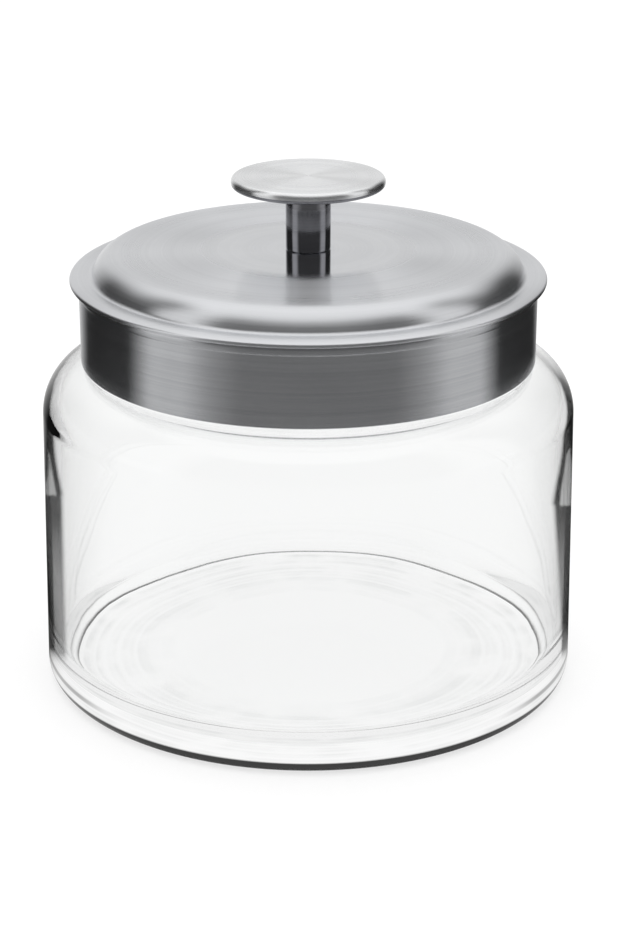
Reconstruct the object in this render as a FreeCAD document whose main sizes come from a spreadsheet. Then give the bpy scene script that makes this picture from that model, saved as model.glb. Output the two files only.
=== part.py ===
import FreeCAD, Part
import Sketcher
import math
import os

# Glass storage jar with a domed metal lid and a disc knob, in millimetres.
# +Z is up and the origin is the centre of the base, on the surface the jar stands on.
# Every piece is turned about the Z axis.
#
#   jar_glass   straight-sided glass jar: heel, wall, rounded shoulder, short neck
#   lid_band    upright skirt of the lid, with a bead under the rim, around the neck
#   lid_top     domed sheet with a ring and a rolled edge, seated on the glass lip
#   knob_stem   round post on the middle of the dome
#   knob_disc   flat disc on the post, with a rounded edge

# ---------------------------------------------------------------- driving dimensions

SIZES = (
    # glass
    ("foot_diameter", 147.0, "glass across its widest part, at the foot of the wall"),
    ("wall_draft", 1.1, "how far the wall draws in, from its foot to its top"),
    ("wall_top_height", 75.9, "base to the start of the shoulder"),
    ("heel_radius", 4.7, "rounding from the base up into the wall"),
    ("shoulder_radius", 13.8, "rounding from the wall in towards the neck"),
    ("neck_inset", 12.1, "outside of the wall's top in to the outside of the neck"),
    ("neck_root_radius", 0.8, "hollow rounding at the foot of the neck, outside"),
    ("foot_wall", 4.3, "glass thickness at the foot of the wall"),
    ("top_wall", 3.3, "glass thickness at the top of the wall and in the shoulder"),
    ("neck_wall", 3.2, "glass thickness of the neck"),
    ("floor_thickness", 5.5, "base plane to the inside floor"),
    ("floor_radius", 9.0, "rounding from the inside floor up into the wall"),
    ("throat_radius", 2.0, "rounding inside, from the shoulder up into the neck"),
    ("standing_ring", 6.8, "flat ring the jar stands on, inside the heel"),
    ("push_up_depth", 2.0, "height of the hollow under the base, at the middle"),
    ("lip_outer_round", 1.0, "rounding of the lip, outside"),
    ("lip_inner_round", 1.2, "rounding of the lip, inside"),
    # lid
    ("shoulder_gap", 0.9, "clear height between the shoulder and the foot of the band"),
    ("neck_clearance", 0.5, "gap between the neck and the inside of the band"),
    ("band_height", 21.7, "foot of the band to the underside of the rim"),
    ("band_sheet", 0.8, "thickness of the band"),
    ("band_bead_height", 2.8, "height of the bead at the top of the band"),
    ("band_bead_proud", 0.45, "how far that bead stands out from the band"),
    ("band_foot_round", 0.3, "rounding of the foot of the band"),
    ("rim_overhang", 2.4, "how far the rolled edge stands out from the band"),
    ("rim_roll_radius", 0.65, "radius of the rolled edge"),
    ("rim_lap", 1.0, "height of the folded lap that rests on the band"),
    ("ring_crown_radius", 10.0, "arch of the ring, from the groove out to the rolled edge"),
    ("groove_inset", 1.8, "inside of the band in to the groove at the foot of the dome"),
    ("groove_radius", 1.3, "hollow rounding of that groove"),
    ("groove_height", 1.65, "underside of the rim to the bottom of the groove"),
    ("knuckle_radius", 7.1, "rounding at the shoulder of the dome"),
    ("crown_radius", 3000.0, "arch of the dome, inside its knuckle"),
    ("dome_rise", 7.75, "underside of the rim to the top of the dome"),
    ("top_sheet", 0.7, "thickness of the domed sheet"),
    # knob
    ("seat_margin", 1.0, "flat of the dome left around the stem"),
    ("stem_diameter", 12.1, "post of the knob"),
    ("stem_length", 17.0, "post of the knob, from the dome to the disc"),
    ("stem_foot_bevel", 0.4, "bevel around the foot of the post"),
    ("disc_diameter", 41.2, "disc of the knob"),
    ("disc_thickness", 2.9, "disc of the knob"),
    ("disc_top_round", 1.4, "rounding of the disc's upper edge"),
    ("disc_under_round", 1.3, "rounding of the disc's lower edge"),
)

# ---------------------------------------------------------------- worked-out dimensions
# Written as expressions, so that a change in the sheet moves all that depends on it.

FOOT_R = "(Sizes.foot_diameter / 2)"
PUSH_UP_R = f"({FOOT_R} - Sizes.heel_radius - Sizes.standing_ring)"
WALL_TOP_R = f"({FOOT_R} - Sizes.wall_draft)"
NECK_R = f"({WALL_TOP_R} - Sizes.neck_inset)"
THROAT_R = f"({NECK_R} - Sizes.neck_wall)"
BAND_BORE_R = f"({NECK_R} + Sizes.neck_clearance)"
BAND_R = f"({BAND_BORE_R} + Sizes.band_sheet)"
RIM_R = f"({BAND_R} + Sizes.rim_overhang)"
GROOVE_R = f"({BAND_BORE_R} - Sizes.groove_inset)"
STEM_R = "(Sizes.stem_diameter / 2)"
SEAT_R = f"({STEM_R} + Sizes.seat_margin)"
DISC_R = "(Sizes.disc_diameter / 2)"

BAND_FOOT_Z = "(Sizes.wall_top_height + Sizes.shoulder_radius + Sizes.shoulder_gap)"
RIM_UNDER_Z = f"({BAND_FOOT_Z} + Sizes.band_height)"
LIP_Z = f"({RIM_UNDER_Z} + Sizes.rim_lap)"
GROOVE_Z = f"({RIM_UNDER_Z} + Sizes.groove_height)"
DOME_TOP_Z = f"({RIM_UNDER_Z} + Sizes.dome_rise)"
DISC_UNDER_Z = f"({DOME_TOP_Z} + Sizes.stem_length)"

UP = math.pi / 2
LEFT = math.pi
DOWN = -math.pi / 2
RIGHT = 0.0

doc = FreeCAD.newDocument("storage_jar")
sheet = doc.addObject("Spreadsheet::Sheet", "Sizes")
for row, (alias, size, meaning) in enumerate(SIZES, start=1):
    sheet.set(f"A{row}", alias)
    sheet.set(f"B{row}", str(size))
    sheet.setAlias(f"B{row}", alias)
    sheet.set(f"C{row}", meaning)
doc.recompute()


def number(expression):
    """The present value of an expression, in millimetres."""
    return float(sheet.evalExpression(expression))


# ---------------------------------------------------------------- drawing half-sections


class HalfSection:
    """A closed outline beside the Z axis, held by sizes from the sheet."""

    def __init__(self, body, name):
        self.sketch = body.newObject("Sketcher::SketchObject", name)
        plane = origin_feature(body, "XZ_Plane")
        self.sketch.AttachmentSupport = [(plane, "")]
        self.sketch.MapMode = "FlatFace"
        self.first_and_last = []

    def line(self, start, end):
        """A straight edge between two points (distance from the axis, height)."""
        edge = Part.LineSegment(FreeCAD.Vector(*start, 0), FreeCAD.Vector(*end, 0))
        self.sketch.addGeometry(edge, False)
        self.first_and_last.append((1, 2))
        return len(self.first_and_last) - 1

    def arc(self, centre, radius, start, end, clockwise=False):
        """A round edge. Angles run anticlockwise; clockwise tells which end comes first."""
        circle = Part.Circle(FreeCAD.Vector(*centre, 0), FreeCAD.Vector(0, 0, 1), radius)
        self.sketch.addGeometry(Part.ArcOfCircle(circle, start, end), False)
        self.first_and_last.append((2, 1) if clockwise else (1, 2))
        return len(self.first_and_last) - 1

    def close(self, smooth):
        """Join each edge to the next, tangent where the pair is listed in smooth."""
        count = len(self.first_and_last)
        for edge in range(count):
            after = (edge + 1) % count
            kind = "Tangent" if (edge, after) in smooth else "Coincident"
            ends = (edge, self.first_and_last[edge][1], after, self.first_and_last[after][0])
            self.sketch.addConstraint(Sketcher.Constraint(kind, *ends))

    def rule(self, kind, *geometry):
        """A rule with no size, such as Horizontal or Vertical."""
        self.sketch.addConstraint(Sketcher.Constraint(kind, *geometry))

    def size(self, kind, name, expression, *geometry):
        """A rule with a size, tied to the sheet by its expression."""
        rule = Sketcher.Constraint(kind, *geometry, number(expression))
        index = self.sketch.addConstraint(rule)
        self.sketch.renameConstraint(index, name)
        self.sketch.setExpression(f"Constraints.{name}", expression)

    def out(self, name, expression, edge, point):
        """Hold a point at a distance from the axis."""
        self.size("DistanceX", name, expression, -1, 1, edge, point)

    def up(self, name, expression, edge, point):
        """Hold a point at a height above the base."""
        self.size("DistanceY", name, expression, -1, 1, edge, point)

    def turn(self, body, kind, name):
        """Turn the outline about the Z axis, as a solid or as a cut."""
        doc.recompute()
        feature = body.newObject(kind, name)
        feature.Profile = self.sketch
        feature.ReferenceAxis = (self.sketch, ["V_Axis"])
        feature.Angle = 360
        doc.recompute()
        return feature


def origin_feature(body, role):
    """One of a body's own origin planes or axes."""
    return next(item for item in body.Origin.OriginFeatures if item.Role == role)


def rim_edge(shape, radius, height):
    """The name of the circular edge nearest a radius and a height."""
    def miss(numbered):
        edge = numbered[1]
        if edge.Degenerated or not isinstance(edge.Curve, Part.Circle):
            return math.inf
        return math.hypot(edge.Curve.Radius - radius, edge.Curve.Center.z - height)

    index, _ = min(enumerate(shape.Edges, start=1), key=miss)
    return f"Edge{index}"


def dress(body, kind, name, before, radius, height, size_name, expression):
    """Round or bevel one circular edge of a body's last feature."""
    feature = body.newObject(kind, name)
    feature.Base = (before, [rim_edge(before.Shape, number(radius), number(height))])
    feature.setExpression(size_name, expression)
    doc.recompute()
    return feature


def new_body(label):
    """An empty body with its own label and place."""
    body = doc.addObject("PartDesign::Body", label)
    body.Label = label
    body.Placement = FreeCAD.Placement()
    return body


# ---------------------------------------------------------------- glass


def glass_outside(body):
    """Outside of the jar: push-up, standing ring, heel, wall, shoulder and neck."""
    foot_r = number(FOOT_R)
    wall_r = number(WALL_TOP_R)
    neck_r = number(NECK_R)
    heel = number("Sizes.heel_radius")
    wall_z = number("Sizes.wall_top_height")
    shoulder = number("Sizes.shoulder_radius")
    root = number("Sizes.neck_root_radius")
    push_r = number(PUSH_UP_R)
    push_z = number("Sizes.push_up_depth")
    lip_z = number(LIP_Z)

    bowl = (push_r ** 2 + push_z ** 2) / (2 * push_z)
    shoulder_x = wall_r - shoulder
    root_x = neck_r + root
    root_turn = math.acos((root_x - shoulder_x) / (shoulder + root))
    root_z = wall_z + (shoulder + root) * math.sin(root_turn)

    section = HalfSection(body, "glass_outside")
    push_up = section.arc((0, push_z - bowl), bowl,
                          math.acos(push_r / bowl), UP, clockwise=True)
    ring = section.line((push_r, 0), (foot_r - heel, 0))
    heel_arc = section.arc((foot_r - heel, heel), heel, DOWN, RIGHT)
    wall = section.line((foot_r, heel), (wall_r, wall_z))
    shoulder_arc = section.arc((shoulder_x, wall_z), shoulder, RIGHT, root_turn)
    root_arc = section.arc((root_x, root_z), root, LEFT, LEFT + root_turn, clockwise=True)
    neck = section.line((neck_r, root_z), (neck_r, lip_z))
    lip = section.line((neck_r, lip_z), (0, lip_z))
    axis = section.line((0, lip_z), (0, push_z))
    section.close({(ring, heel_arc), (heel_arc, wall), (wall, shoulder_arc),
                   (shoulder_arc, root_arc), (root_arc, neck)})

    section.rule("Horizontal", ring)
    section.rule("Vertical", neck)
    section.rule("Horizontal", lip)
    section.rule("PointOnObject", push_up, 3, -2)
    section.rule("PointOnObject", push_up, 2, -2)
    section.rule("PointOnObject", axis, 1, -2)
    section.rule("PointOnObject", ring, 1, -1)
    section.up("push_up_depth", "Sizes.push_up_depth", push_up, 2)
    section.out("push_up_radius", PUSH_UP_R, ring, 1)
    section.size("Radius", "heel", "Sizes.heel_radius", heel_arc)
    section.out("foot", FOOT_R, wall, 1)
    section.out("wall_top", WALL_TOP_R, wall, 2)
    section.up("wall_height", "Sizes.wall_top_height", wall, 2)
    section.size("Radius", "shoulder", "Sizes.shoulder_radius", shoulder_arc)
    section.size("Radius", "neck_root", "Sizes.neck_root_radius", root_arc)
    section.out("neck", NECK_R, neck, 2)
    section.up("lip", LIP_Z, neck, 2)
    return section.turn(body, "PartDesign::Revolution", "glass_blank")


def glass_inside(body):
    """Inside of the jar: floor, wall, shoulder and throat, open at the top."""
    foot_r = number(f"{FOOT_R} - Sizes.foot_wall")
    wall_r = number(f"{WALL_TOP_R} - Sizes.top_wall")
    throat_r = number(THROAT_R)
    floor_z = number("Sizes.floor_thickness")
    corner = number("Sizes.floor_radius")
    wall_z = number("Sizes.wall_top_height")
    shoulder = number("Sizes.shoulder_radius - Sizes.top_wall")
    throat = number("Sizes.throat_radius")
    lip_z = number(LIP_Z)

    shoulder_x = wall_r - shoulder
    throat_x = throat_r + throat
    throat_turn = math.acos((throat_x - shoulder_x) / (shoulder + throat))
    throat_z = wall_z + (shoulder + throat) * math.sin(throat_turn)

    section = HalfSection(body, "glass_inside")
    floor = section.line((0, floor_z), (foot_r - corner, floor_z))
    corner_arc = section.arc((foot_r - corner, floor_z + corner), corner, DOWN, RIGHT)
    wall = section.line((foot_r, floor_z + corner), (wall_r, wall_z))
    shoulder_arc = section.arc((shoulder_x, wall_z), shoulder, RIGHT, throat_turn)
    throat_arc = section.arc((throat_x, throat_z), throat,
                             LEFT, LEFT + throat_turn, clockwise=True)
    bore = section.line((throat_r, throat_z), (throat_r, lip_z))
    mouth = section.line((throat_r, lip_z), (0, lip_z))
    section.line((0, lip_z), (0, floor_z))
    section.close({(floor, corner_arc), (corner_arc, wall), (wall, shoulder_arc),
                   (shoulder_arc, throat_arc), (throat_arc, bore)})

    section.rule("Horizontal", floor)
    section.rule("Vertical", bore)
    section.rule("Horizontal", mouth)
    section.rule("PointOnObject", floor, 1, -2)
    section.rule("PointOnObject", mouth, 2, -2)
    section.up("floor", "Sizes.floor_thickness", floor, 1)
    section.size("Radius", "corner", "Sizes.floor_radius", corner_arc)
    section.out("wall_foot", f"{FOOT_R} - Sizes.foot_wall", wall, 1)
    section.out("wall_top", f"{WALL_TOP_R} - Sizes.top_wall", wall, 2)
    section.up("wall_height", "Sizes.wall_top_height", wall, 2)
    section.size("Radius", "shoulder", "Sizes.shoulder_radius - Sizes.top_wall", shoulder_arc)
    section.size("Radius", "throat", "Sizes.throat_radius", throat_arc)
    section.out("bore", THROAT_R, bore, 2)
    section.up("lip", LIP_Z, bore, 2)
    return section.turn(body, "PartDesign::Groove", "glass_hollow")


def make_glass():
    """The jar itself: a turned blank, hollowed, with its lip rounded."""
    body = new_body("jar_glass")
    glass_outside(body)
    hollow = glass_inside(body)
    outer_lip = dress(body, "PartDesign::Fillet", "lip_outside", hollow,
                      NECK_R, LIP_Z, "Radius", "Sizes.lip_outer_round")
    dress(body, "PartDesign::Fillet", "lip_inside", outer_lip,
          THROAT_R, LIP_Z, "Radius", "Sizes.lip_inner_round")
    return body


# ---------------------------------------------------------------- lid


def meet(first, first_reach, second, second_reach, side):
    """The point at given distances from two points, to one side of the line joining them."""
    across = second[0] - first[0]
    upward = second[1] - first[1]
    apart = math.hypot(across, upward)
    along = (apart ** 2 + first_reach ** 2 - second_reach ** 2) / (2 * apart)
    off = side * math.sqrt(first_reach ** 2 - along ** 2)
    x = first[0] + (along * across - off * upward) / apart
    z = first[1] + (along * upward + off * across) / apart
    return x, z


def make_band():
    """Upright skirt of the lid: a tube with a bead just under the rim."""
    bore_r = number(BAND_BORE_R)
    outer_r = number(BAND_R)
    foot_z = number(BAND_FOOT_Z)
    top_z = number(RIM_UNDER_Z)
    bead = number("Sizes.band_bead_height")
    proud = number("Sizes.band_bead_proud")

    bead_r = ((bead / 2) ** 2 + proud ** 2) / (2 * proud)
    bead_turn = math.asin(bead / 2 / bead_r)

    body = new_body("lid_band")
    section = HalfSection(body, "band_section")
    foot = section.line((bore_r, foot_z), (outer_r, foot_z))
    side = section.line((outer_r, foot_z), (outer_r, top_z - bead))
    bead_arc = section.arc((outer_r + proud - bead_r, top_z - bead / 2), bead_r,
                           -bead_turn, bead_turn)
    top = section.line((outer_r, top_z), (bore_r, top_z))
    bore = section.line((bore_r, top_z), (bore_r, foot_z))
    section.close(set())

    section.rule("Horizontal", foot)
    section.rule("Horizontal", top)
    section.rule("Vertical", side)
    section.rule("Vertical", bore)
    section.out("bore", BAND_BORE_R, foot, 1)
    section.up("foot", BAND_FOOT_Z, foot, 1)
    section.out("outside", BAND_R, foot, 2)
    section.up("top", RIM_UNDER_Z, top, 2)
    section.out("bead_end", BAND_R, top, 1)
    section.size("DistanceY", "bead_height", "Sizes.band_bead_height", side, 2, top, 1)
    bead_radius = ("(Sizes.band_bead_height ^ 2 / 4 + Sizes.band_bead_proud ^ 2)"
                   " / (2 * Sizes.band_bead_proud)")
    section.size("Radius", "bead", bead_radius, bead_arc)
    tube = section.turn(body, "PartDesign::Revolution", "band_tube")
    dress(body, "PartDesign::Fillet", "band_foot", tube,
          BAND_R, BAND_FOOT_Z, "Radius", "Sizes.band_foot_round")
    return body


def make_top():
    """Domed sheet: flat seat, crown, knuckle, groove, arched ring and rolled edge."""
    seat_r = number(SEAT_R)
    top_z = number(DOME_TOP_Z)
    under_z = number(RIM_UNDER_Z)
    lap_z = number(LIP_Z)
    lap_r = number(BAND_BORE_R)
    sheet_t = number("Sizes.top_sheet")
    crown = number("Sizes.crown_radius")
    knuckle = number("Sizes.knuckle_radius")
    groove = number("Sizes.groove_radius")
    groove_r = number(GROOVE_R)
    groove_z = number(GROOVE_Z) + groove
    roll = number("Sizes.rim_roll_radius")
    roll_x = number(RIM_R) - roll
    roll_z = under_z + roll
    ring = number("Sizes.ring_crown_radius")

    # The knuckle touches the crown's arch from inside and the groove's arch from outside.
    crown_z = top_z - crown
    knuckle_x, knuckle_z = meet((seat_r, crown_z), crown - knuckle,
                                (groove_r, groove_z), knuckle + groove, side=1)
    crown_turn = math.atan2(knuckle_z - crown_z, knuckle_x - seat_r)
    groove_turn = math.atan2(groove_z - knuckle_z, groove_r - knuckle_x)

    # The ring's arch touches the groove's arch from outside and the rolled edge from inside.
    ring_x, ring_z = meet((groove_r, groove_z), ring + groove,
                          (roll_x, roll_z), ring - roll, side=-1)
    ring_start = math.atan2(groove_z - ring_z, groove_r - ring_x)
    ring_end = math.atan2(roll_z - ring_z, roll_x - ring_x)

    inner_knuckle = knuckle - sheet_t
    inner_turn = math.asin((lap_z - knuckle_z) / inner_knuckle)
    inner_x = knuckle_x + inner_knuckle * math.cos(inner_turn)

    body = new_body("lid_top")
    section = HalfSection(body, "top_section")
    seat = section.line((0, top_z), (seat_r, top_z))
    crown_arc = section.arc((seat_r, crown_z), crown, crown_turn, UP, clockwise=True)
    knuckle_arc = section.arc((knuckle_x, knuckle_z), knuckle,
                              groove_turn, crown_turn, clockwise=True)
    groove_arc = section.arc((groove_r, groove_z), groove,
                             groove_turn + LEFT, ring_start + LEFT)
    ring_arc = section.arc((ring_x, ring_z), ring, ring_end, ring_start, clockwise=True)
    roll_arc = section.arc((roll_x, roll_z), roll, DOWN, ring_end, clockwise=True)
    under = section.line((roll_x, under_z), (lap_r, under_z))
    lap = section.line((lap_r, under_z), (lap_r, lap_z))
    flat = section.line((lap_r, lap_z), (inner_x, lap_z))
    inner_knuckle_arc = section.arc((knuckle_x, knuckle_z), inner_knuckle,
                                    inner_turn, crown_turn)
    inner_crown_arc = section.arc((seat_r, crown_z), crown - sheet_t, crown_turn, UP)
    inner_seat = section.line((seat_r, top_z - sheet_t), (0, top_z - sheet_t))
    axis = section.line((0, top_z - sheet_t), (0, top_z))
    section.close({(seat, crown_arc), (crown_arc, knuckle_arc), (knuckle_arc, groove_arc),
                   (groove_arc, ring_arc), (ring_arc, roll_arc), (roll_arc, under),
                   (inner_knuckle_arc, inner_crown_arc)})

    for level in (seat, under, flat, inner_seat):
        section.rule("Horizontal", level)
    section.rule("Vertical", lap)
    section.rule("Coincident", inner_knuckle_arc, 3, knuckle_arc, 3)
    section.rule("PointOnObject", axis, 1, -2)
    section.rule("PointOnObject", axis, 2, -2)
    section.out("seat", SEAT_R, seat, 2)
    section.up("dome_top", DOME_TOP_Z, seat, 2)
    section.size("Radius", "crown", "Sizes.crown_radius", crown_arc)
    section.size("Radius", "knuckle", "Sizes.knuckle_radius", knuckle_arc)
    section.size("Radius", "groove", "Sizes.groove_radius", groove_arc)
    section.out("groove_out", GROOVE_R, groove_arc, 3)
    section.up("groove_up", f"{GROOVE_Z} + Sizes.groove_radius", groove_arc, 3)
    section.size("Radius", "ring", "Sizes.ring_crown_radius", ring_arc)
    section.size("Radius", "roll", "Sizes.rim_roll_radius", roll_arc)
    section.out("roll_out", f"{RIM_R} - Sizes.rim_roll_radius", roll_arc, 3)
    section.up("rim_under", RIM_UNDER_Z, under, 2)
    section.out("lap_out", BAND_BORE_R, lap, 1)
    section.up("lap_up", LIP_Z, lap, 2)
    section.size("Radius", "inner_knuckle", "Sizes.knuckle_radius - Sizes.top_sheet",
                 inner_knuckle_arc)
    section.out("inner_seat_out", SEAT_R, inner_seat, 1)
    section.up("inner_seat_up", f"{DOME_TOP_Z} - Sizes.top_sheet", inner_seat, 1)
    section.size("Radius", "inner_crown", "Sizes.crown_radius - Sizes.top_sheet",
                 inner_crown_arc)
    section.turn(body, "PartDesign::Revolution", "dome_sheet")
    return body


# ---------------------------------------------------------------- knob


def padded_disc(label, radius, start, length):
    """A body with one round pad, standing on a level plane at a given height."""
    body = new_body(label)
    sketch = body.newObject("Sketcher::SketchObject", f"{label}_circle")
    sketch.AttachmentSupport = [(origin_feature(body, "XY_Plane"), "")]
    sketch.MapMode = "FlatFace"
    sketch.setExpression("AttachmentOffset.Base.z", start)
    circle = Part.Circle(FreeCAD.Vector(), FreeCAD.Vector(0, 0, 1), number(radius))
    sketch.addGeometry(circle, False)
    sketch.addConstraint(Sketcher.Constraint("Coincident", 0, 3, -1, 1))
    index = sketch.addConstraint(Sketcher.Constraint("Radius", 0, number(radius)))
    sketch.renameConstraint(index, "radius")
    sketch.setExpression("Constraints.radius", radius)
    doc.recompute()
    pad = body.newObject("PartDesign::Pad", f"{label}_pad")
    pad.Profile = sketch
    pad.setExpression("Length", length)
    doc.recompute()
    return body, pad


def make_stem():
    """Post of the knob, standing on the dome's flat seat, bevelled at its foot."""
    body, pad = padded_disc("knob_stem", STEM_R, DOME_TOP_Z, "Sizes.stem_length")
    dress(body, "PartDesign::Chamfer", "stem_foot", pad,
          STEM_R, DOME_TOP_Z, "Size", "Sizes.stem_foot_bevel")
    return body


def make_disc():
    """Flat disc on top of the post, with a full rounded edge."""
    body, pad = padded_disc("knob_disc", DISC_R, DISC_UNDER_Z, "Sizes.disc_thickness")
    upper = dress(body, "PartDesign::Fillet", "disc_top_edge", pad, DISC_R,
                  f"{DISC_UNDER_Z} + Sizes.disc_thickness", "Radius", "Sizes.disc_top_round")
    dress(body, "PartDesign::Fillet", "disc_under_edge", upper, DISC_R,
          DISC_UNDER_Z, "Radius", "Sizes.disc_under_round")
    return body


# ---------------------------------------------------------------- build, check, write

pieces = [make_glass(), make_band(), make_top(), make_stem(), make_disc()]
doc.recompute()

for item in doc.Objects:
    if "Invalid" in item.State or "Error" in item.State:
        raise RuntimeError(f"{item.Label} did not rebuild: {item.State}")

for piece in pieces:
    if piece.Shape.isNull() or not piece.Shape.isValid() or len(piece.Shape.Solids) != 1:
        raise RuntimeError(f"{piece.Label} is not one sound solid")

os.makedirs("parts", exist_ok=True)
for piece in pieces:
    piece.Shape.exportStep(f"parts/{piece.Label}.step")
    box = piece.Shape.optimalBoundingBox(False, False)
    print(f"{piece.Label}: {piece.Shape.Volume / 1000:.2f} cm3,"
          f" across {box.XLength:.2f}, height {box.ZMin:.2f} to {box.ZMax:.2f}")
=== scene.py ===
import math

import bmesh
import bpy
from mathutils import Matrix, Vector, noise


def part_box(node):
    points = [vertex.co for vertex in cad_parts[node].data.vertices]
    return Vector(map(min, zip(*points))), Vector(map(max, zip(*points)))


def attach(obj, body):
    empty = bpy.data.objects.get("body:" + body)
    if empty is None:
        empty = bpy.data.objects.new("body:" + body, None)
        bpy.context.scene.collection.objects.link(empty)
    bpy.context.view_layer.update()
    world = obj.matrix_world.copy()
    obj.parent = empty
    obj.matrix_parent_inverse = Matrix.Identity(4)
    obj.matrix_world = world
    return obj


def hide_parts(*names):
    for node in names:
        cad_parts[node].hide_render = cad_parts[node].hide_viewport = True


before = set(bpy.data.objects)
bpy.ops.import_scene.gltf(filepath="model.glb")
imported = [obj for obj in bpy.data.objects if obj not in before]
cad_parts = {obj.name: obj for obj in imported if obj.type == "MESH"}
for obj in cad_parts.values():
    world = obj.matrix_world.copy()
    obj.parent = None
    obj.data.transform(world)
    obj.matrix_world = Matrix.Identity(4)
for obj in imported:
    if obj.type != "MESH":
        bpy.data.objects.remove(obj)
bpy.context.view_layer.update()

# Glass storage jar with a domed metal lid and a disc knob.
# The sizes of the pieces are in millimetres, and so are heights and distances in their materials.
# Every finished mesh, and the studio, is in metres, on the CAD's own axes.
# +Z is up through the knob, the jar stands on z = 0, and the camera looks along +Y.

MM = 0.001
ROUND_STEPS = 256
QUARTER = math.pi / 2


def extent(node):
    """Outside radius, lowest and highest point of a CAD node, in millimetres."""
    low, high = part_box(node)
    return high.x / MM, low.z / MM, high.z / MM


# The glass at its foot and lip, the top of its straight wall, and the ring that its rounded
# shoulder bends about.
GLASS_R, BASE_Z, LIP_Z = extent("jar_glass")
WALL_LEAN = 1.1
WALL_R, WALL_Z = GLASS_R - WALL_LEAN, 75.9
SHOULDER = 13.8
CREST_R = WALL_R - SHOULDER


# ---------------------------------------------------------------- turning


class Outline:
    """Half of a turned piece's section, drawn from point to point beside the Z axis."""

    def __init__(self, out, up):
        self.mesh = bmesh.new()
        self.tip = self.mesh.verts.new((out, 0, up))

    def line(self, out, up, parts=1):
        """A straight run to a point, in one or more equal parts."""
        start = self.tip.co.copy()
        end = Vector((out, 0, up))
        for part in range(1, parts + 1):
            grown = bmesh.ops.extrude_vert_indiv(self.mesh, verts=[self.tip])
            self.tip = grown["verts"][0]
            self.tip.co = start.lerp(end, part / parts)
        return self

    def arc(self, out, up, turn, parts):
        """A round run about a centre. A positive turn is anticlockwise, with +Z up."""
        grown = bmesh.ops.spin(self.mesh, geom=[self.tip], cent=(out, 0, up),
                               axis=(0, -1, 0), angle=turn, steps=parts)
        self.tip = next(item for item in grown["geom_last"]
                        if isinstance(item, bmesh.types.BMVert))
        return self

    def close(self):
        """Join the last point to the first."""
        self.mesh.verts.ensure_lookup_table()
        self.mesh.edges.new((self.tip, self.mesh.verts[0]))
        return self

    def turned(self, name, reshape=None):
        """Turn the outline once round the Z axis into a finished piece."""
        mesh = self.mesh
        bmesh.ops.spin(mesh, geom=mesh.verts[:] + mesh.edges[:], cent=(0, 0, 0),
                       axis=(0, 0, 1), angle=math.tau, steps=ROUND_STEPS, use_merge=True)
        bmesh.ops.remove_doubles(mesh, verts=mesh.verts, dist=0.001)
        bmesh.ops.recalc_face_normals(mesh, faces=mesh.faces)
        if reshape:
            for vert in mesh.verts:
                reshape(vert.co)
        bmesh.ops.scale(mesh, verts=mesh.verts, vec=(MM, MM, MM))
        for face in mesh.faces:
            face.smooth = True
        data = bpy.data.meshes.new(name)
        mesh.to_mesh(data)
        mesh.free()
        piece = bpy.data.objects.new(name, data)
        bpy.context.scene.collection.objects.link(piece)
        shading = piece.modifiers.new("flat_faces_stay_flat", "WEIGHTED_NORMAL")
        shading.keep_sharp = True
        return piece


def touching(first, first_reach, second, second_reach, side):
    """Centre of an arc that touches two others, to one side of the line between them."""
    apart = Vector(second) - Vector(first)
    along = (apart.length ** 2 + first_reach ** 2 - second_reach ** 2) / (2 * apart.length)
    off = side * math.sqrt(first_reach ** 2 - along ** 2)
    return Vector(first) + apart.normalized() * along + apart.orthogonal().normalized() * off


def bearing(start, end):
    """Direction from one point to another, in radians above level."""
    return math.atan2(end[1] - start[1], end[0] - start[0])


# ---------------------------------------------------------------- shader helpers


class Value:
    """A number that changes over a surface. Sums on it add Math nodes."""

    def __init__(self, finish, socket):
        self.finish = finish
        self.socket = socket

    def math(self, operation, *others):
        """A Math node on this number and others."""
        settings = {"operation": operation}
        return self.finish.node("ShaderNodeMath", settings, dict(enumerate((self, *others))))

    def __add__(self, other):
        return self.math("ADD", other)

    __radd__ = __add__

    def __mul__(self, other):
        return self.math("MULTIPLY", other)

    __rmul__ = __mul__

    def __sub__(self, other):
        return self.math("SUBTRACT", other)

    def __rsub__(self, other):
        return (self * -1) + other

    def __truediv__(self, other):
        return self.math("DIVIDE", other)

    def between(self, low, high):
        """0 below low, 1 above high, smooth between."""
        settings = {"interpolation_type": "SMOOTHSTEP"}
        return self.finish.node("ShaderNodeMapRange", settings,
                                {"Value": self, "From Min": low, "From Max": high})


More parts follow.
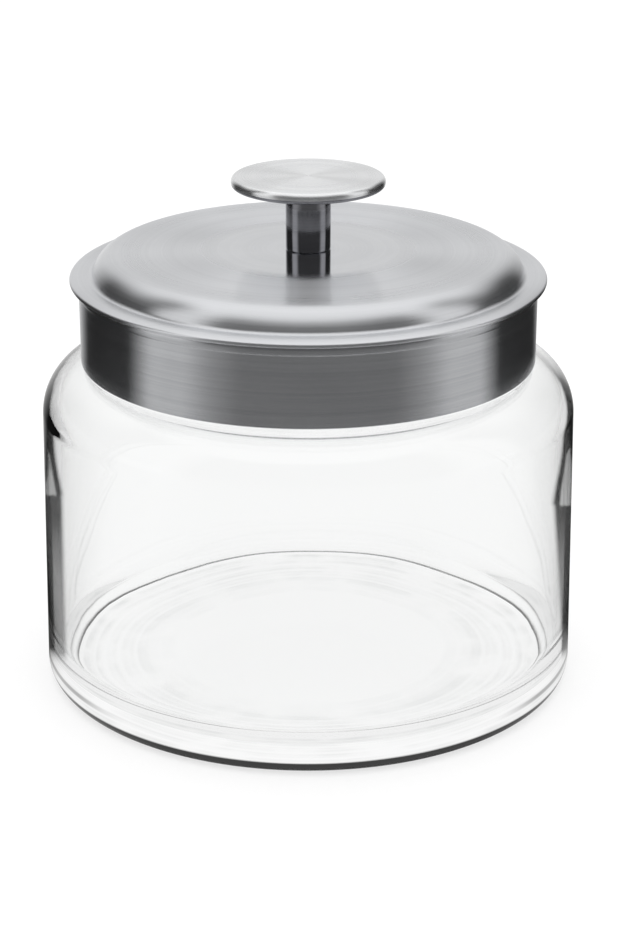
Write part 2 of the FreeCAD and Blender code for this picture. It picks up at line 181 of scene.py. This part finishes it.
class Finish:
    """The nodes of one material, or of the world."""

    def __init__(self, owner):
        owner.use_nodes = True
        self.tree = owner.node_tree
        self.tree.nodes.clear()

    def node(self, kind, settings=None, inputs=None, output=0):
        """Add a node: settings first (a ramp's stops run from 0 to 1), then its sockets."""
        made = self.tree.nodes.new(kind)
        for name, setting in (settings or {}).items():
            if name == "stops":
                ramp = made.color_ramp.elements
                for place, _ in setting[1:-1]:
                    ramp.new(place)
                for stop, (_, level) in zip(ramp, setting):
                    stop.color = (level, level, level, 1)
            else:
                setattr(made, name, setting)
        for name, value in (inputs or {}).items():
            if isinstance(value, Value):
                self.tree.links.new(value.socket, made.inputs[name])
            else:
                made.inputs[name].default_value = value
        return Value(self, made.outputs[output]) if made.outputs else None

    def place(self):
        """Where a point is on the object, in millimetres."""
        here = self.node("ShaderNodeTexCoord", output="Object")
        return self.node("ShaderNodeVectorMath", {"operation": "SCALE"},
                         {0: here, "Scale": 1 / MM})

    def parts(self, vector):
        """The three numbers of a vector."""
        split = self.tree.nodes.new("ShaderNodeSeparateXYZ")
        self.tree.links.new(vector.socket, split.inputs[0])
        return [Value(self, socket) for socket in split.outputs]

    def from_axis(self, x, y):
        """Distance from the Z axis."""
        return (x * x + y * y).math("SQRT")

    def drawn_out(self, vector, share):
        """A place whose height counts for only a share, so that grain on it runs upright."""
        return self.node("ShaderNodeVectorMath", {"operation": "MULTIPLY"},
                         {0: vector, 1: (1, 1, share)})

    def grain(self, vector, size, detail=3.0, roughness=0.5):
        """Soft random mottling from 0 to 1, with blotches about this many units across."""
        return self.node("ShaderNodeTexNoise", {"noise_dimensions": "3D"},
                         {"Vector": vector, "Scale": 1 / size, "Detail": detail,
                          "Roughness": roughness})

    def blend(self, share, low, high):
        """A colour between two colours."""
        ends = [end if isinstance(end, Value) else (*end, 1) for end in (low, high)]
        return self.node("ShaderNodeMix", {"data_type": "RGBA"},
                         {0: share, 6: ends[0], 7: ends[1]}, output=2)

    def relief(self, height, depth):
        """A surface normal from heights, where 1 stands depth millimetres proud."""
        return self.node("ShaderNodeBump", None,
                         {"Height": height, "Distance": depth * MM, "Strength": 1.0})

    def glow(self, strength):
        """A shader that gives out white light."""
        return self.node("ShaderNodeEmission", None, {"Strength": strength})

    def mix(self, share, low, high):
        """A shader between two shaders."""
        return self.node("ShaderNodeMixShader", None, {0: share, 1: low, 2: high})

    def surface(self, **sockets):
        """The shader itself, joined to the output."""
        named = {name.replace("_", " "): value for name, value in sockets.items()}
        shader = self.node("ShaderNodeBsdfPrincipled", None, named)
        self.node("ShaderNodeOutputMaterial", None, {"Surface": shader})


def material(name):
    """A new material, and its nodes."""
    made = bpy.data.materials.new(name)
    return made, Finish(made)


# ---------------------------------------------------------------- finishes


# The glass's colour carries painted shade, standing in for the dark surroundings that the wall
# shows where
# it is seen aslant: how clear it is painted runs from 0, black, to 1. How aslant it is seen runs
# from 0, straight on, to 1, at the jar's outline. A pair of numbers is where a change starts and
# where it is complete.
# This blend leaves Layer Weight's facing as it is.
PLAIN_ANGLE = 0.5
# The wall's radius halfway up.
WALL_MIDDLE_R = 73.0
# Seen a little from above, a level line on the wall looks curved. This much straightens it.
STRAIGHTENS = 29.0
# The step between the lower and the upper bands is a little higher at the left.
STEP = (50.4, 51.4)
STEP_SLOPE = 1.6
# The painted bands of shade fade in above the heel and out on the shoulder, a little higher at
# the right.
BANDS_START = (3, 7)
BANDS_END = (77, 82)
BANDS_END_SLOPE = 2
# Only the outer skin carries them. It lies farther than this from the ring inside the shoulder.
OUTER_SKIN = (12.5, 13.0)
# Darkest levels of the painted shade in the upper and in the lower bands.
UPPER_PAINTED_BLACK = 0.01
LOWER_PAINTED_BLACK = 0.012


def upper_painted_shade(aslant, rise, streaks):
    """Painted shade above the step: a black line that nears the outline as it rises, and a
    streaky veil.
    """
    line_starts, line_nears, nears_by = 0.66, (48, 68), 0.085
    line_inside, line_outside = 0.035, 0.02
    veil_from, veil_full = 0.05, 0.09
    veil_level, veil_streaks, streak_edges = 0.25, 0.4, (0.2, 0.8)
    veil_leaves, leaves_by = (63, 73), 0.28

    line = line_starts + rise.between(*line_nears) * nears_by
    level = 1 + aslant.between(line - line_inside, line + line_outside) * (UPPER_PAINTED_BLACK - 1)
    veil = streaks.between(*streak_edges) * veil_streaks + veil_level
    outside = aslant - rise.between(*veil_leaves) * leaves_by
    return level + (veil - level) * outside.between(line + veil_from, line + veil_full)


def lower_painted_shade(aslant, rise, side):
    """Painted shade below the step: a grey band that narrows and pales on its way down, and a
    black outline.
    """
    band_top, band_starts, narrows_by = 48.0, 0.68, 0.085
    band_inside, band_outside = 0.04, 0.02
    grey_at_top, pales, pales_by = 0.02, (0.0, 0.5), 0.14
    black_outline = (0.79, 0.82)

    down = 1 - rise / band_top
    band = band_starts + down * (side + 1) * narrows_by
    grey = grey_at_top + down.between(*pales) * pales_by
    level = 1 + (grey - 1) * aslant.between(band - band_inside, band + band_outside)
    return level + (LOWER_PAINTED_BLACK - level) * aslant.between(*black_outline)


def heel_painted_shade(aslant, up, skin):
    """Painted shade at the heel: a black edge along it, standing in for the light lost in the
    thick foot and its contact shadow, and a thin grey line above it.
    """
    edge_aslant, edge_top, edge_dark = (0.16, 0.24), (3.6, 4.3), 0.998
    line_aslant, line_foot, line_top, line_dark = (0.35, 0.6), (5.6, 6.4), (7.0, 7.8), 0.8

    edge = aslant.between(*edge_aslant) * (1 - up.between(*edge_top))
    at_line = up.between(*line_foot) * (1 - up.between(*line_top))
    line = aslant.between(*line_aslant) * at_line * skin
    return (1 - edge * edge_dark) * (1 - line * line_dark)


def clear_glass():
    """Soda-lime glass. Its wall is uneven; the dark bands where it is seen aslant are painted
    shade in its colour, standing in for the dark surroundings seen through it.
    """
    made, finish = material("clear_glass")
    place = finish.place()
    x, y, up = finish.parts(place)
    out = finish.from_axis(x, y)
    # -1 at the jar's left and 1 at its right.
    side = x / WALL_MIDDLE_R
    aslant = finish.node("ShaderNodeLayerWeight", None, {"Blend": PLAIN_ANGLE}, output="Facing")
    rise = up + (aslant - 1) * STRAIGHTENS
    streaks = finish.grain(finish.drawn_out(place, 0.12), 1.6, 2.0)

    # Painted shade: the two bands, joined at the step.
    upper = upper_painted_shade(aslant, rise, streaks)
    lower = lower_painted_shade(aslant, rise, side)
    clear = lower + (upper - lower) * (rise + side * STEP_SLOPE).between(*STEP)

    above_wall = (up - WALL_Z).math("MAXIMUM", 0)
    from_crest = ((out - CREST_R) * (out - CREST_R) + above_wall * above_wall).math("SQRT")
    skin = from_crest.between(*OUTER_SKIN)
    ended = (rise - side * BANDS_END_SLOPE).between(*BANDS_END)
    shown = skin * rise.between(*BANDS_START) * (1 - ended)
    # The bands' painted shade shows only on the outer skin, and the heel's painted shade is laid
    # over it.
    clear = (1 + (clear - 1) * shown) * heel_painted_shade(aslant, up, skin)

    foot_wear, scuffs = (0.05, 0.7), (0.45, 0.7)
    ripple = finish.grain(finish.drawn_out(place, 0.35), 14.0, 2.0)
    wear = (1 - up.between(*foot_wear)) * finish.grain(place, 0.5, 4.0).between(*scuffs)
    cast = finish.grain(place, 40.0, 1.0)
    tint = finish.blend(cast, (0.985, 0.99, 0.988), (0.995, 0.997, 0.996))
    # The base colour is the glass's tint, taken towards black by the painted shade.
    finish.surface(Base_Color=finish.blend(clear, (0.0, 0.0, 0.0), tint), Roughness=wear * 0.35,
                   Normal=finish.relief(ripple, 0.02), Transmission_Weight=1.0, IOR=1.5)
    return made


def resting_glass():
    """Underside and throat of the jar, where the light passes straight on. Away from the middle
    it carries faint grey rings of painted shade, standing in for the grey that the thick base
    shows.
    """
    made, finish = material("resting_glass")
    place = finish.place()
    x, y, _ = finish.parts(place)
    out = finish.from_axis(x, y)
    # Painted shade: faint grey rings and clouds, away from the middle.
    painted_shade_from, ring_edges, cloud_edges = (34, 54), (0.35, 0.65), (0.3, 0.7)
    rings = finish.grain(finish.node("ShaderNodeCombineXYZ", None, {0: out}), 3.5, 1.0)
    cloud = finish.grain(place, 14.0, 2.0)
    painted_shade_rings = rings.between(*ring_edges) * cloud.between(*cloud_edges)
    shade = out.between(*painted_shade_from) * painted_shade_rings
    finish.surface(Base_Color=finish.blend(shade, (0.985, 0.985, 0.985), (0.70, 0.71, 0.71)),
                   Roughness=0.0, Transmission_Weight=1.0, IOR=1.0)
    return made


# Gloss on turned metal is drawn out across its marks, a quarter of a turn from along them.
ACROSS_THE_MARKS = 0.25
# How much broader the broad marks are than the fine ones.
BROADER = 9
MIDDLE_OF_GRAIN = 0.5
POLISHED_ROUGHNESS = 0.09


def turned_metal(name, dark, light, gloss, streak, anisotropy, depth=0.004, polished_to=0.0):
    """Metal with fine turning marks that run round the Z axis, and an optional bright middle."""
    made, finish = material(name)
    place = finish.place()
    x, y, up = finish.parts(place)
    out = finish.from_axis(x, y)
    rings = finish.node("ShaderNodeCombineXYZ", None, {0: out, 1: up, 2: 0.0})
    fine = finish.grain(rings, streak, 4.0, 0.6)
    broad = finish.grain(rings, streak * BROADER, 2.0, 0.5)
    patches = finish.grain(place, 16.0, 3.0)
    fine_share, mark_share, shade_edges = 0.6, 0.75, (0.3, 0.7)
    mark_relief, patch_relief = 0.12, 0.05
    marks = fine * fine_share + broad * (1 - fine_share)
    shade = (marks * mark_share + patches * (1 - mark_share)).between(*shade_edges)
    rough = gloss + (marks - MIDDLE_OF_GRAIN) * mark_relief
    rough = rough + (patches - MIDDLE_OF_GRAIN) * patch_relief
    if polished_to:
        edge, halo_from, halo_to, halo = 5, 6, 19, 0.05
        near_middle = 1 - out.between(polished_to + halo_from, polished_to + halo_to)
        satin = rough + near_middle * halo
        beyond = out.between(polished_to - edge, polished_to + edge)
        rough = POLISHED_ROUGHNESS + (satin - POLISHED_ROUGHNESS) * beyond
    finish.surface(Base_Color=finish.blend(shade, dark, light), Roughness=rough, Metallic=1.0,
                   Anisotropic=anisotropy, Anisotropic_Rotation=ACROSS_THE_MARKS,
                   Normal=finish.relief(fine, depth))
    return made


# ---------------------------------------------------------------- glass


def jar_glass():
    """One closed skin: underside, heel, wall, shoulder, neck, lip, and back down inside."""
    heel, root = 4.7, 0.8
    neck_r, bore_r, throat = 60.3, 57.1, 2.0
    floor_z, corner = 5.5, 9.0
    wall_foot, wall_top = 4.3, 3.3
    foot_in, top_in = GLASS_R - wall_foot, WALL_R - wall_top
    push_r, push_z = 62.0, 2.0
    lip_out, lip_in = 1.0, 1.2

    bowl = (push_r ** 2 + push_z ** 2) / (2 * push_z)
    lean = bearing((GLASS_R, heel), (WALL_R, WALL_Z)) - QUARTER
    root_turn = math.acos((neck_r + root - CREST_R) / (SHOULDER + root))
    root_z = WALL_Z + (SHOULDER + root) * math.sin(root_turn)

    inner = SHOULDER - wall_top
    lean_in = bearing((foot_in, floor_z + corner), (top_in, WALL_Z)) - QUARTER
    throat_turn = math.acos((bore_r + throat - CREST_R) / (inner + throat))
    throat_z = WALL_Z + (inner + throat) * math.sin(throat_turn)

    shape = Outline(0, push_z)
    shape.arc(0, push_z - bowl, -math.asin(push_r / bowl), 12)
    shape.line(GLASS_R - heel, BASE_Z, 2)
    shape.arc(GLASS_R - heel, heel, QUARTER + lean, 12)
    shape.line(WALL_R, WALL_Z, 24)
    shape.arc(CREST_R, WALL_Z, root_turn - lean, 20)
    shape.arc(neck_r + root, root_z, -root_turn, 6)
    shape.line(neck_r, LIP_Z - lip_out, 3)
    shape.arc(neck_r - lip_out, LIP_Z - lip_out, QUARTER, 6)
    shape.line(bore_r + lip_in, LIP_Z)
    shape.arc(bore_r + lip_in, LIP_Z - lip_in, QUARTER, 6)
    shape.line(bore_r, throat_z, 4)
    shape.arc(bore_r + throat, throat_z, throat_turn, 6)
    shape.arc(CREST_R, WALL_Z, lean_in - throat_turn, 18)
    shape.line(foot_in, floor_z + corner, 40)
    shape.arc(foot_in - corner, floor_z + corner, -QUARTER - lean_in, 16)
    shape.line(0, floor_z, 12)

    # The inside of the wall is uneven from just over the floor to high on the shoulder.
    uneven_from, full_over, uneven_to, gone_over = 6, 10, 88, 12
    beside_floor, just_outside = 50, 1
    swelling, swell_z, swell_reach = 0.4, 46, 14
    drifting, rippling, ripple_length = -0.4, 0.1, 25

    def uneven(point):
        """The inside of a blown wall is never true: it swells and thins as it goes round."""
        out = math.hypot(point.x, point.y)
        if point.z < uneven_from or out < beside_floor:
            return
        if point.z < WALL_Z and out > foot_in + just_outside:
            return
        from_crest = math.hypot(out - CREST_R, point.z - WALL_Z)
        if point.z >= WALL_Z and from_crest > inner + just_outside:
            return
        swell = swelling * math.tanh((point.z - swell_z) / swell_reach)
        drift = drifting * point.x / out
        ripple = rippling * noise.noise(Vector((point.x, point.y, point.z)) / ripple_length)
        fade_in = min(1, (point.z - uneven_from) / full_over)
        fade_out = min(1, max(0, (uneven_to - point.z) / gone_over))
        thicker = (swell + drift + ripple) * (fade_in * fade_out)
        point.x -= thicker * point.x / out
        point.y -= thicker * point.y / out

    piece = shape.turned("jar_glass_clear", uneven)
    throat_from, throat_to, inside_neck = WALL_Z + 8.6, LIP_Z - 2, neck_r - 0.2
    for face in piece.data.polygons:
        centre = face.center / MM
        out = centre.xy.length
        beneath = centre.z <= push_z and out < GLASS_R - heel
        in_throat = throat_from < centre.z < throat_to and out < inside_neck
        if beneath or in_throat:
            face.material_index = 1
    return piece


# ---------------------------------------------------------------- lid


def lid_band():
    """Upright skirt: a plain tube with a low bead under the rim."""
    _, foot_z, top_z = extent("lid_band")
    bore_r, outer_r = 60.8, 61.6
    bead, proud, foot_round = 2.8, 0.45, 0.3
    bead_r = ((bead / 2) ** 2 + proud ** 2) / (2 * proud)
    bead_turn = math.asin(bead / 2 / bead_r)

    shape = Outline(bore_r, foot_z)
    shape.line(outer_r - foot_round, foot_z)
    shape.arc(outer_r - foot_round, foot_z + foot_round, QUARTER, 5)
    shape.line(outer_r, top_z - bead, 8)
    shape.arc(outer_r + proud - bead_r, top_z - bead / 2, 2 * bead_turn, 10)
    shape.line(bore_r, top_z)
    shape.close()
    return shape.turned("lid_band_brushed")


def lid_top():
    """Domed sheet: seat, crown, knuckle, groove, arched ring and rolled edge."""
    rim_r, under_z, top_z = extent("lid_top")
    seat_r, lap_r, lap_z = 7.05, 60.8, under_z + 1.0
    sheet, crown, knuckle = 0.7, 3000.0, 7.1
    groove, groove_r, groove_z = 1.3, 59.0, under_z + 1.65 + 1.3
    roll, ring = 0.65, 10.0
    roll_x, roll_z = rim_r - roll, under_z + roll

    crown_c = (seat_r, top_z - crown)
    groove_c = (groove_r, groove_z)
    roll_c = (roll_x, roll_z)
    knuckle_c = touching(crown_c, crown - knuckle, groove_c, knuckle + groove, 1)
    ring_c = touching(groove_c, ring + groove, roll_c, ring - roll, -1)
    crown_end = bearing(crown_c, knuckle_c)
    groove_start = bearing(knuckle_c, groove_c)
    ring_start = bearing(ring_c, groove_c)
    ring_end = bearing(ring_c, roll_c)
    inner = knuckle - sheet
    inner_turn = math.asin((lap_z - knuckle_c[1]) / inner)

    shape = Outline(0, top_z)
    shape.line(seat_r, top_z, 2)
    shape.arc(*crown_c, crown_end - QUARTER, 30)
    shape.arc(*knuckle_c, groove_start - crown_end, 16)
    shape.arc(*groove_c, ring_start - groove_start, 12)
    shape.arc(*ring_c, ring_end - ring_start, 10)
    shape.arc(*roll_c, -QUARTER - ring_end, 10)
    shape.line(lap_r, under_z)
    shape.line(lap_r, lap_z)
    shape.line(knuckle_c[0] + inner * math.cos(inner_turn), lap_z)
    shape.arc(*knuckle_c, crown_end - inner_turn, 10)
    shape.arc(*crown_c, QUARTER - crown_end, 12)
    shape.line(0, top_z - sheet)
    return shape.turned("lid_top_satin")


# ---------------------------------------------------------------- knob


def knob_stem():
    """Round post, bevelled at its foot."""
    post_r, foot_z, top_z = extent("knob_stem")
    bevel = 0.4
    shape = Outline(0, foot_z)
    shape.line(post_r - bevel, foot_z)
    shape.line(post_r, foot_z + bevel)
    shape.line(post_r, top_z, 4)
    shape.line(0, top_z)
    return shape.turned("knob_stem_polished")


def knob_disc():
    """Flat disc with a full rounded edge, its lower side painted with shade in a darker copy of
    the metal.
    """
    disc_r, under_z, top_z = extent("knob_disc")
    upper, lower, shaded_share = 1.4, 1.3, 0.8
    shape = Outline(0, under_z)
    shape.line(disc_r - lower, under_z, 4)
    shape.arc(disc_r - lower, under_z + lower, QUARTER, 10)
    shape.line(disc_r, top_z - upper)
    shape.arc(disc_r - upper, top_z - upper, QUARTER, 12)
    shape.line(0, top_z, 10)
    piece = shape.turned("knob_disc_turned")
    for face in piece.data.polygons:
        centre = face.center / MM
        # The lower side of the edge takes the second material: painted shade in the dark metal.
        if centre.z < under_z + lower * shaded_share and centre.xy.length > disc_r - lower:
            face.material_index = 1
    return piece


# ---------------------------------------------------------------- put together

BAND_METAL = (0.60, 0.61, 0.63), (0.74, 0.75, 0.77)
TOP_METAL = (0.70, 0.71, 0.73), (0.79, 0.80, 0.82)
DISC_METAL = (0.89, 0.90, 0.91), (0.97, 0.975, 0.98)
# A darker copy of the metal, as painted shade: on the disc's lower edge and on the stem, standing
# in for the dark things they mirror.
SHADE_DARKENED_METAL = (0.26, 0.26, 0.28), (0.34, 0.34, 0.36)

PIECES = (
    (jar_glass, "jar_glass", "clear_glass",
     clear_glass(),
     resting_glass()),
    (lid_band, "lid_band", "brushed_band",
     turned_metal("brushed_band", *BAND_METAL, gloss=0.24, streak=0.25, anisotropy=0.95)),
    (lid_top, "lid_top", "satin_top",
     turned_metal("satin_top", *TOP_METAL, gloss=0.29, streak=0.5, anisotropy=0.92,
                  polished_to=27.0)),
    # The stem is polished metal, painted darker as shade for the dark room it mirrors.
    (knob_stem, "knob_stem", "polished_stem",
     turned_metal("polished_stem", *SHADE_DARKENED_METAL, gloss=0.06, streak=0.6, anisotropy=0.3)),
    (knob_disc, "knob_disc", "turned_disc",
     turned_metal("turned_disc", *DISC_METAL, gloss=0.28, streak=0.3, anisotropy=0.96,
                  depth=0.002),
     # The disc's lower edge: painted shade in the dark metal.
     turned_metal("disc_edge_painted_shade", *SHADE_DARKENED_METAL, gloss=0.30, streak=0.3, anisotropy=0.9)),
)

for make, node, slot, *coats in PIECES:
    piece = make()
    for coat in coats:
        piece.data.materials.append(coat)
    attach(piece, "root")
    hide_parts(node)

# ---------------------------------------------------------------- studio

# How bright the floor and the low part of the room are, going round from the camera side (0)
# to straight behind (1): dim, a strip of light at each side, a dark screen, and the backdrop.
ROUND_THE_FLOOR = (
    (0.00, 0.19),
    (0.20, 0.20),
    (0.29, 0.38),
    (0.35, 0.55),
    (0.46, 0.59),
    (0.50, 0.30),
    (0.54, 0.03),
    (0.78, 0.02),
    (0.85, 0.45),
    (0.89, 0.75),
    (0.95, 1.00),
    (1.00, 1.00),
)
ROUND_THE_ROOM = (
    (0.00, 0.13),
    (0.30, 0.13),
    (0.38, 1.10),
    (0.49, 1.10),
    (0.54, 0.06),
    (0.77, 0.04),
    (0.84, 0.60),
    (0.89, 0.92),
    (1.00, 0.92),
)
# The lights and screens are turned about the jar by this much, in radians.
ASKEW = 0.08
# Brightness of the room: overhead as metal mirrors it, as it lights matt things, and as glass
# shows it after turning light back inside itself, through one wall or through more.
SOFTBOX_LEVEL = 1.35
LIT_LEVEL = 0.93
ONE_WALL = 0.92
MORE_WALLS = 0.85
# How much of the floor, seen straight, is its own white and not its shading.
FLOOR_GLOW = 0.7


def going_round(finish, stops, x, y):
    """A level by direction from the jar's axis."""
    turn = (x.math("ARCTAN2", y * -1) - ASKEW).math("ABSOLUTE")
    return finish.node("ShaderNodeValToRGB", {"stops": stops}, {"Fac": turn / math.pi})


class Look:
    """What kind of ray meets the floor or the room. Each answer is 1 for yes and 0 for no."""

    def __init__(self, finish):
        path = finish.tree.nodes.new("ShaderNodeLightPath")
        through = Value(finish, path.outputs["Is Transmission Ray"])
        mirrors = Value(finish, path.outputs["Glossy Depth"])
        passes = Value(finish, path.outputs["Transmission Depth"])
        one_wall = passes.math("LESS_THAN", 2.5)
        self.straight = Value(finish, path.outputs["Is Camera Ray"])
        self.turned_back = mirrors.math("GREATER_THAN", 0.5) * through
        self.clear = through - self.turned_back
        self.mirrored = Value(finish, path.outputs["Is Glossy Ray"]) * (1 - through)
        self.turned_back_level = ONE_WALL * one_wall + MORE_WALLS * (1 - one_wall)


def floor():
    """A pale floor, just under the jar's foot."""
    half_side, gap = 6, 0.05 * MM
    bm = bmesh.new()
    bmesh.ops.create_grid(bm, x_segments=1, y_segments=1, size=half_side)
    bmesh.ops.translate(bm, verts=bm.verts, vec=(0, 0, -gap))
    data = bpy.data.meshes.new("floor")
    bm.to_mesh(data)
    bm.free()
    made = bpy.data.objects.new("floor", data)
    bpy.context.scene.collection.objects.link(made)
    paint, finish = material("pale_floor")
    x, y, _ = finish.parts(finish.place())
    look = Look(finish)
    matt = finish.node("ShaderNodeBsdfDiffuse", None, {"Color": (0.95, 0.95, 0.95, 1)})
    shown = finish.mix(look.straight * FLOOR_GLOW, matt, finish.glow(1.0))
    shown = finish.mix(look.clear, shown, finish.glow(1.0))
    shown = finish.mix(look.turned_back, shown, finish.glow(look.turned_back_level))
    lights = going_round(finish, ROUND_THE_FLOOR, x, y)
    shown = finish.mix(look.mirrored, shown, finish.glow(lights))
    finish.node("ShaderNodeOutputMaterial", None, {"Surface": shown})
    paint.cycles.emission_sampling = "NONE"
    made.data.materials.append(paint)


def room():
    """White to the eye and through glass; lights and dark screens to whatever mirrors it."""
    world = bpy.data.worlds.new("studio")
    bpy.context.scene.world = world
    finish = Finish(world)
    x, y, up = finish.parts(finish.node("ShaderNodeTexCoord", output="Generated"))
    look = Look(finish)
    low = going_round(finish, ROUND_THE_ROOM, x, y)
    # The light overhead comes lower down behind the jar than in front of it.
    back_starts, back_edge, front_edge = (0.1, 0.6), (0.35, 0.75), (0.75, 0.88)
    behind = y.between(*back_starts)
    overhead = up.between(*back_edge) * behind + up.between(*front_edge) * (1 - behind)
    studio = low + (SOFTBOX_LEVEL - low) * overhead
    level = look.straight + look.clear + look.turned_back * look.turned_back_level
    level = level + look.mirrored * studio
    lighting = 1 - (look.straight + look.clear + look.turned_back + look.mirrored)
    light = finish.node("ShaderNodeBackground", None, {"Strength": level + lighting * LIT_LEVEL})
    finish.node("ShaderNodeOutputWorld", None, {"Surface": light})


def softbox():
    """A wide soft light overhead."""
    lamp = bpy.data.lights.new("softbox", "AREA")
    lamp.shape = "SQUARE"
    lamp.size = 3.0
    lamp.energy = 48.0
    made = bpy.data.objects.new("softbox", lamp)
    made.location = (0, 0, 2.0)
    made.visible_glossy = False
    made.visible_transmission = False
    bpy.context.scene.collection.objects.link(made)


def camera():
    """Above the lid and looking down a little, at the height of the wall."""
    away, tilt = 0.6648, math.radians(20.74)
    target = Vector((0.0006, 0, 0.0578))
    back = Vector((0, -math.cos(tilt), math.sin(tilt)))
    lens = bpy.data.cameras.new("camera")
    lens.lens = 92.8
    lens.clip_start = 0.01
    made = bpy.data.objects.new("camera", lens)
    made.location = target + back * away
    made.rotation_euler = (-back).to_track_quat("-Z", "Y").to_euler()
    bpy.context.scene.collection.objects.link(made)
    bpy.context.scene.camera = made


floor()
room()
softbox()
camera()
bpy.context.scene.view_settings.view_transform = "Standard"
